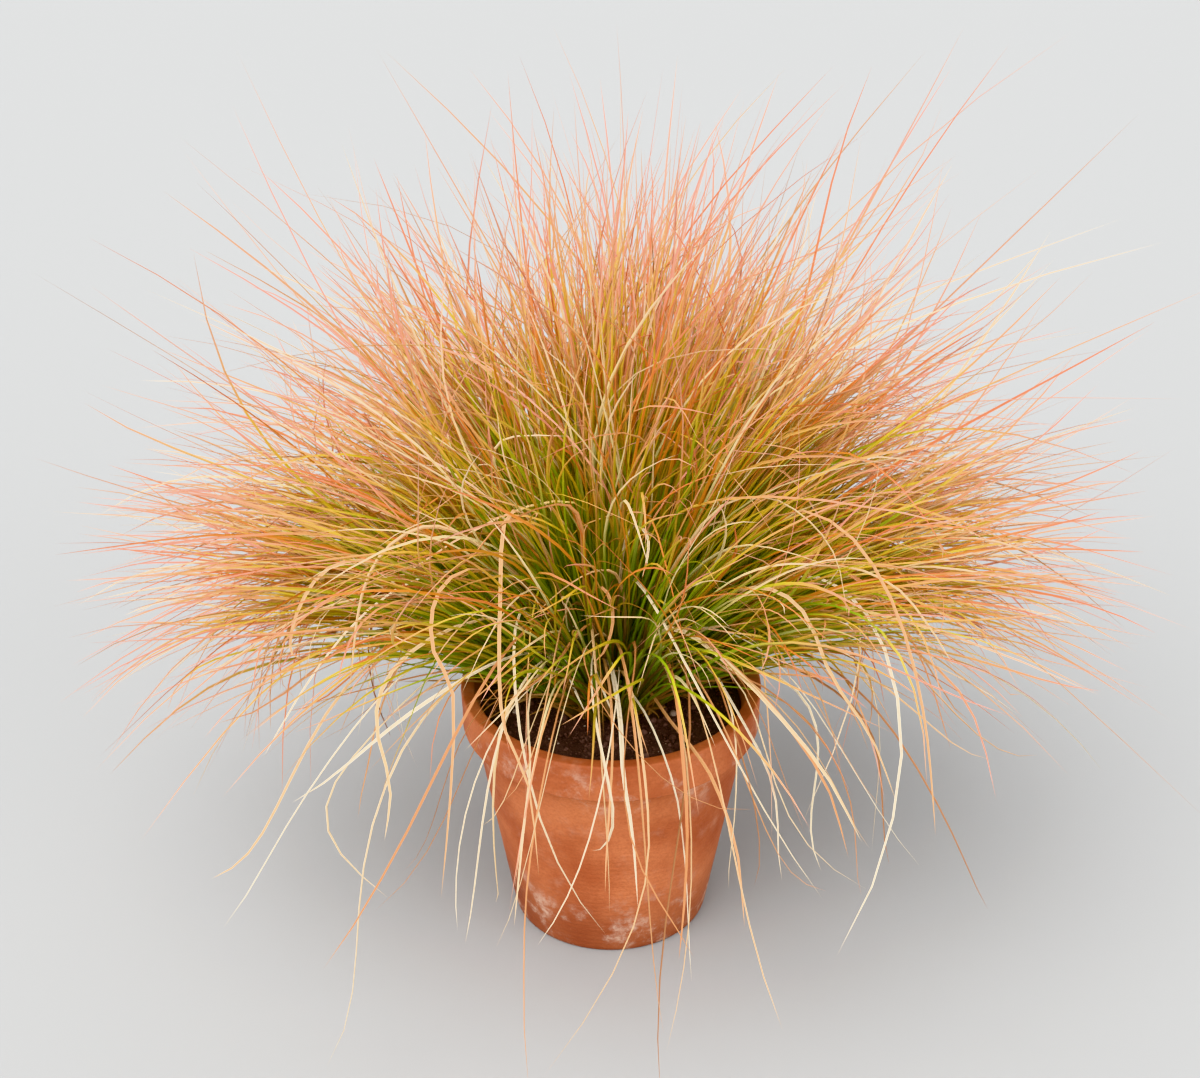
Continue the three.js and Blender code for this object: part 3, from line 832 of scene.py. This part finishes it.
def stubs(guides, draw):
    """Broken leaves and torn sheaths that splay from the foot of a dead bunch, as a group to join with it."""
    feet = np.repeat(guides, STUBS_EACH, axis=0)
    n = len(feet)
    foot = feet[:, 0] + draw.normal(0, STUB_SPREAD, (n, 3)) * [1, 1, 0]
    way = feet[:, 3] - feet[:, 0]
    way /= lengths(way)
    way += draw.normal(0, STUB_LEAN, (n, 3))
    out = feet[:, -1] * [1, 1, 0]
    out /= lengths(out)
    length = draw.uniform(*STUB_LENGTHS, (n, 1, 1))
    along = stations[None, :, None]
    falling = out[:, None] * STUB_FLARE - [0, 0, STUB_SAG]
    curve = way[:, None] * along + falling * along**2 * draw.random((n, 1, 1))
    curve = curve + along**3 * draw.normal(0, STUB_CURL, (n, 1, 3))
    lines = foot[:, None] + curve * length
    lines = np.where(clear_of_pot(lines)[:, None, None], lines, foot[:, None] + curve * STUB_LENGTHS[0])
    widths = draw.uniform(*STUB_WIDTHS, n)
    roll, twist = draw.normal(0, STUB_ROLL, n), draw.normal(0, STUB_TWIST, n)
    placed = bent_copies(blade_shape, blade_rings, lines, widths, roll, twist)
    facts = {
        "along": blade_shape.points[:, 2] * draw.uniform(0.3, 1, (n, 1)) * STUB_SHARE,
        "across": blade_across,
        "tint": draw.random((n, 1)) * 0.6,
        "age": draw.random((n, 1)),
    }
    return blade_shape, placed, facts


dry = Look("straw_blade", IOR=1.4)
along = dry.fact("along")
across = dry.fact("across")
tint = dry.fact("tint")
age = dry.fact("age")
stain = dry.noise(16, 3)
fleck = dry.noise(300, 2)
colour = dry.ramp(
    tint,
    (0.0, tone(152, 104, 68)),
    (0.2, tone(200, 138, 90)),
    (0.4, tone(214, 170, 122)),
    (0.65, tone(226, 198, 152)),
    (1.0, tone(240, 228, 200)),
)
colour = dry.mix((stain + age * 0.5).rise(0.76, 1.04) * 0.75, colour, tone(206, 118, 62))
colour = dry.mix(along.rise(0.4, 0.06) * 0.8, colour, tone(142, 108, 62))
colour = dry.mix(fleck.rise(0.5, 0.8) * 0.35, colour, tone(160, 120, 84))
# Painted shade: the crease and the keel of each dead blade are drawn darker.
crease_and_keel_shade = abs(across).rise(0.4, 0)
colour = dry.mix(crease_and_keel_shade * 0.4, colour, tone(158, 120, 78))
dry.finish(Base_Color=colour, Roughness=0.6 + fleck * 0.2, relief=fleck * 0.00015)

straw_names = sorted(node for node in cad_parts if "straw" in node)
for number, node in enumerate(straw_names):
    draw = np.random.default_rng(300 + number)
    guides = solid_blades(node)
    lines = varied(guides, 1, draw, STRAW_SHORTER, **STRAW_HABIT)
    widths = draw.uniform(*STRAW_WIDTHS, len(lines))
    bunch = blades_piece(f"{node}_blades", lines, widths, draw, [stubs(guides, draw)])
    bunch.data.materials.append(dry.material)
    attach(bunch, "root")
    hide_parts(node)


# The longest dead blades, each as it has fallen. The first three numbers are its tone, from 0 for brown to 1
# for white, its width in mm, and how far to the front its tip hangs in cm. Its way follows, as points to the
# right of the crown and above it in cm, as one sees them from the front at the photograph's angle.
CM = 0.01
VIEW_TILT = math.radians(30)
FALLEN_START = 0.5
FALLEN_EASE = 0.7
NEARLY_ALL = 0.9999  # keeps a blade's last station inside the last stretch between two points
FALLEN = (
    (0.24, 3.0, 20, (-1, 0.6), (-2.2, 9), (-2.6, 16), (-4.6, 17.6), (-9.2, 15.8), (-11.5, 13.2),
     (-16.2, 10.1)),
    (0.42, 2.4, 28, (-1.5, 0.6), (-5, 12), (-7, 16.8), (-8.8, 16), (-9.1, 10.5), (-9.2, 3.5), (-8.7, -1),
     (-6.8, -5.5), (-6, -12.9)),
    (0.62, 2.6, 23, (-2, 0.6), (-6, 6), (-10, 8), (-15, 6.5), (-18.5, 3.5), (-19.7, -0.5), (-18.5, -6),
     (-19, -10.5)),
    (0.36, 2.4, 29, (-1.8, 0.6), (-5.5, 9), (-10, 12.2), (-13.2, 11.6), (-14.7, 9), (-14.6, 5.5), (-13, 2),
     (-13.2, -6), (-14, -14.7)),
    (0.55, 2.4, 20, (-2, 0.6), (-7, 10.5), (-12, 14.8), (-15.5, 15.7), (-18.8, 13.5), (-20.6, 9.5),
     (-21.5, 2.5)),
    (0.45, 2.2, 16, (-2.2, 0.6), (-11, 8.5), (-19, 12.7), (-23.5, 12.3), (-26, 9), (-26.8, 5.5),
     (-25.5, 4.6)),
    (0.28, 2.4, 14, (-0.5, 0.6), (-1.4, 6), (-1.6, 10.4), (-0.4, 10.2), (0.1, 8), (-0.5, 5.5), (-1.6, 4.2)),
    (0.9, 2.4, 9, (-1.2, 0.4), (-2.6, 4.5), (-3.2, 7.2), (-4, 6), (-4, 3.8), (-3.2, 1.5), (-2.2, -0.6)),
    (0.85, 2.2, 10, (-0.6, 0.4), (-2, 4.2), (-2.8, 6.5), (-2.2, 5), (-1.5, 3.5), (-0.6, 1.2), (0.2, -0.7)),
    (0.95, 3.2, 24, (-0.2, 0.4), (-0.6, 3), (-0.2, 4.2), (0.4, 1.5), (0.8, -1.5), (1, -5.5), (1.8, -10.6),
     (2.2, -16.4)),
    (0.7, 3.0, 26, (0.6, 0.5), (1.4, 4), (3.4, 6.7), (6, 6.9), (9, 4.9), (13, 1), (17.5, -4.5),
     (20.5, -10.2)),
    (0.24, 2.7, 25, (0.8, 0.5), (2, 4.4), (4.2, 7), (6.8, 6.8), (10, 4.2), (14, 0), (17.8, -5.7),
     (19.6, -11.7)),
    (0.66, 2.6, 20, (1, 0.6), (3.5, 9), (8, 16.6), (12, 18.2), (15.5, 16.5), (18, 13.2), (19, 8.3)),
    (0.52, 2.4, 23, (1.2, 0.6), (5, 6.8), (9.5, 10), (13, 10.6), (16, 8.5), (18.2, 3.3), (21.5, -1.8),
     (23.5, -7)),
    (0.6, 2.6, 19, (1.6, 0.6), (8, 8), (14, 11.8), (19, 12.5), (23.2, 10.8), (26, 7.5), (28, 4.3)),
    (0.3, 2.6, 25, (1, 0.4), (2, 1.8), (3.4, 1.2), (5, -1), (7, -3.4), (8.8, -6.2), (10.6, -11.6),
     (11.2, -18.1)),
    (0.22, 2.1, 14, (-2, 0.5), (-6.5, 3.4), (-11, 3.6), (-16, 3), (-22, 1.6), (-27.5, 0.2)),
    (0.26, 2.2, 15, (-2, 0.5), (-8.5, 5.4), (-14, 6.4), (-19, 6), (-24.5, 3.8), (-29, 1)),
    (0.8, 2.1, 12, (0.6, 0.6), (0.6, 8.5), (1, 14), (2, 15.9), (3, 14.8), (2.9, 12.9), (2.5, 11.5)),
    (0.34, 2.4, 28, (1.3, 0.6), (6.5, 10.5), (13, 16.6), (17.5, 16.2), (21, 12.5), (23.5, 7), (25, 1),
     (25.7, -4), (26.2, -9.4)),
    (0.72, 3.0, 26, (-1, 0.4), (-2.4, 4.8), (-4.2, 5.6), (-6.4, 2.9), (-7.1, -0.3), (-6.9, -4.6),
     (-7.5, -10.2), (-8.2, -17.8)),
    (0.22, 2.7, 18, (-0.6, 0.4), (-0.7, 5.5), (-1.4, 7.5), (-2.8, 6.8), (-4.6, 4.4), (-6.6, 2.6),
     (-9.2, 0.9)),
    (0.44, 2.1, 13, (0.4, 0.5), (1.2, 7), (0.6, 11.4), (-1.4, 12), (-4, 10.6), (-6.9, 8)),
    (0.5, 2.2, 17, (-1.4, 0.5), (-5.5, 6.6), (-8.6, 9.2), (-11, 8.8), (-13.2, 6.8), (-15, 4.3)),
)


def hung(tip_front, seen):
    """The points of a fallen blade in space. It comes steadily to the front, as far as its tip hangs."""
    seen = np.array(seen)
    way = np.concatenate([[0], np.linalg.norm(np.diff(seen, axis=0), axis=1).cumsum()])
    front = FALLEN_START + tip_front * (way / way[-1]) ** FALLEN_EASE
    above = (seen[:, 1] + front * math.sin(VIEW_TILT)) / math.cos(VIEW_TILT)
    return np.stack([seen[:, 0], -front, above], axis=1) * CM + [0, 0, SOIL_TOP]


def threaded(points):
    """A smooth line through points, at a blade's stations."""
    ends = [2 * points[0] - points[1], *points, 2 * points[-1] - points[-2]]
    line = []
    for place in stations * (len(points) - 1) * NEARLY_ALL:
        a, b, c, d = ends[int(place) : int(place) + 4]
        t = place % 1
        second = 2 * a - 5 * b + 4 * c - d
        third = 3 * b - a - 3 * c + d
        line.append(b + ((c - a) * t + second * t**2 + third * t**3) / 2)
    return line


ways = [threaded(hung(tip_front, seen)) for _, _, tip_front, *seen in FALLEN]
lines = kept_in_box(np.array(ways))
draw = np.random.default_rng(500)
tints, widths = np.array([blade[:2] for blade in FALLEN]).T[..., None]
widths = widths[:, 0] * MM
fallen = blades_piece("long_dead_blades", lines, widths, draw, tints=tints)
fallen.data.materials.append(dry.material)
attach(fallen, "root")


# The studio: a plain pale floor under an even sky, with a soft light high above, a little to the front and
# left, and two weaker ones lower down in front. They stand far away, so that the floor is evenly lit.
FLOOR_BREADTH = 60
bpy.ops.object.select_all(action="DESELECT")
bpy.ops.mesh.primitive_plane_add(size=FLOOR_BREADTH)
floor = bpy.context.object
floor.name = "floor"
paper = Look("pale_floor", Base_Color=(0.34, 0.34, 0.335, 1), Roughness=0.9)
floor.data.materials.append(paper.material)

world = bpy.data.worlds.new("studio")
world.use_nodes = True
sky = world.node_tree.nodes["Background"]
sky.inputs["Color"].default_value = (0.95, 0.97, 1.0, 1)
sky.inputs["Strength"].default_value = 1.1
bpy.context.scene.world = world
bpy.context.scene.view_settings.view_transform = "Khronos PBR Neutral"


def soft_light(name, towards, breadth, strength):
    """A broad light far off in a direction, as wide across the sky as its breadth in degrees."""
    light = bpy.data.lights.new(name, "SUN")
    light.angle = math.radians(breadth)
    light.energy = strength
    lamp = bpy.data.objects.new(name, light)
    lamp.rotation_euler = (-Vector(towards)).to_track_quat("-Z", "Y").to_euler()
    lamp.location = towards
    bpy.context.collection.objects.link(lamp)


soft_light("overhead", (-0.6, -0.9, 2.4), 60, 3.3)
soft_light("left_front", (-2.4, -2.6, 1.5), 50, 1.1)
soft_light("right_front", (2.6, -2.0, 1.2), 50, 1.1)


# The camera looks down on the clump from the front at the photograph's angle.
CAMERA_DISTANCE = 2.3
FRAME_WIDTH = 1.06
AIM = (-0.01, 0, 0.39)
SENSOR_WIDTH = 36
camera_data = bpy.data.cameras.new("camera")
camera_data.sensor_width = SENSOR_WIDTH
camera_data.lens = SENSOR_WIDTH * CAMERA_DISTANCE / FRAME_WIDTH
camera = bpy.data.objects.new("camera", camera_data)
back, up = CAMERA_DISTANCE * math.cos(VIEW_TILT), CAMERA_DISTANCE * math.sin(VIEW_TILT)
camera.location = (AIM[0], AIM[1] - back, AIM[2] + up)
camera.rotation_euler = (math.pi / 2 - VIEW_TILT, 0, 0)
bpy.context.collection.objects.link(camera)
bpy.context.scene.camera = camera
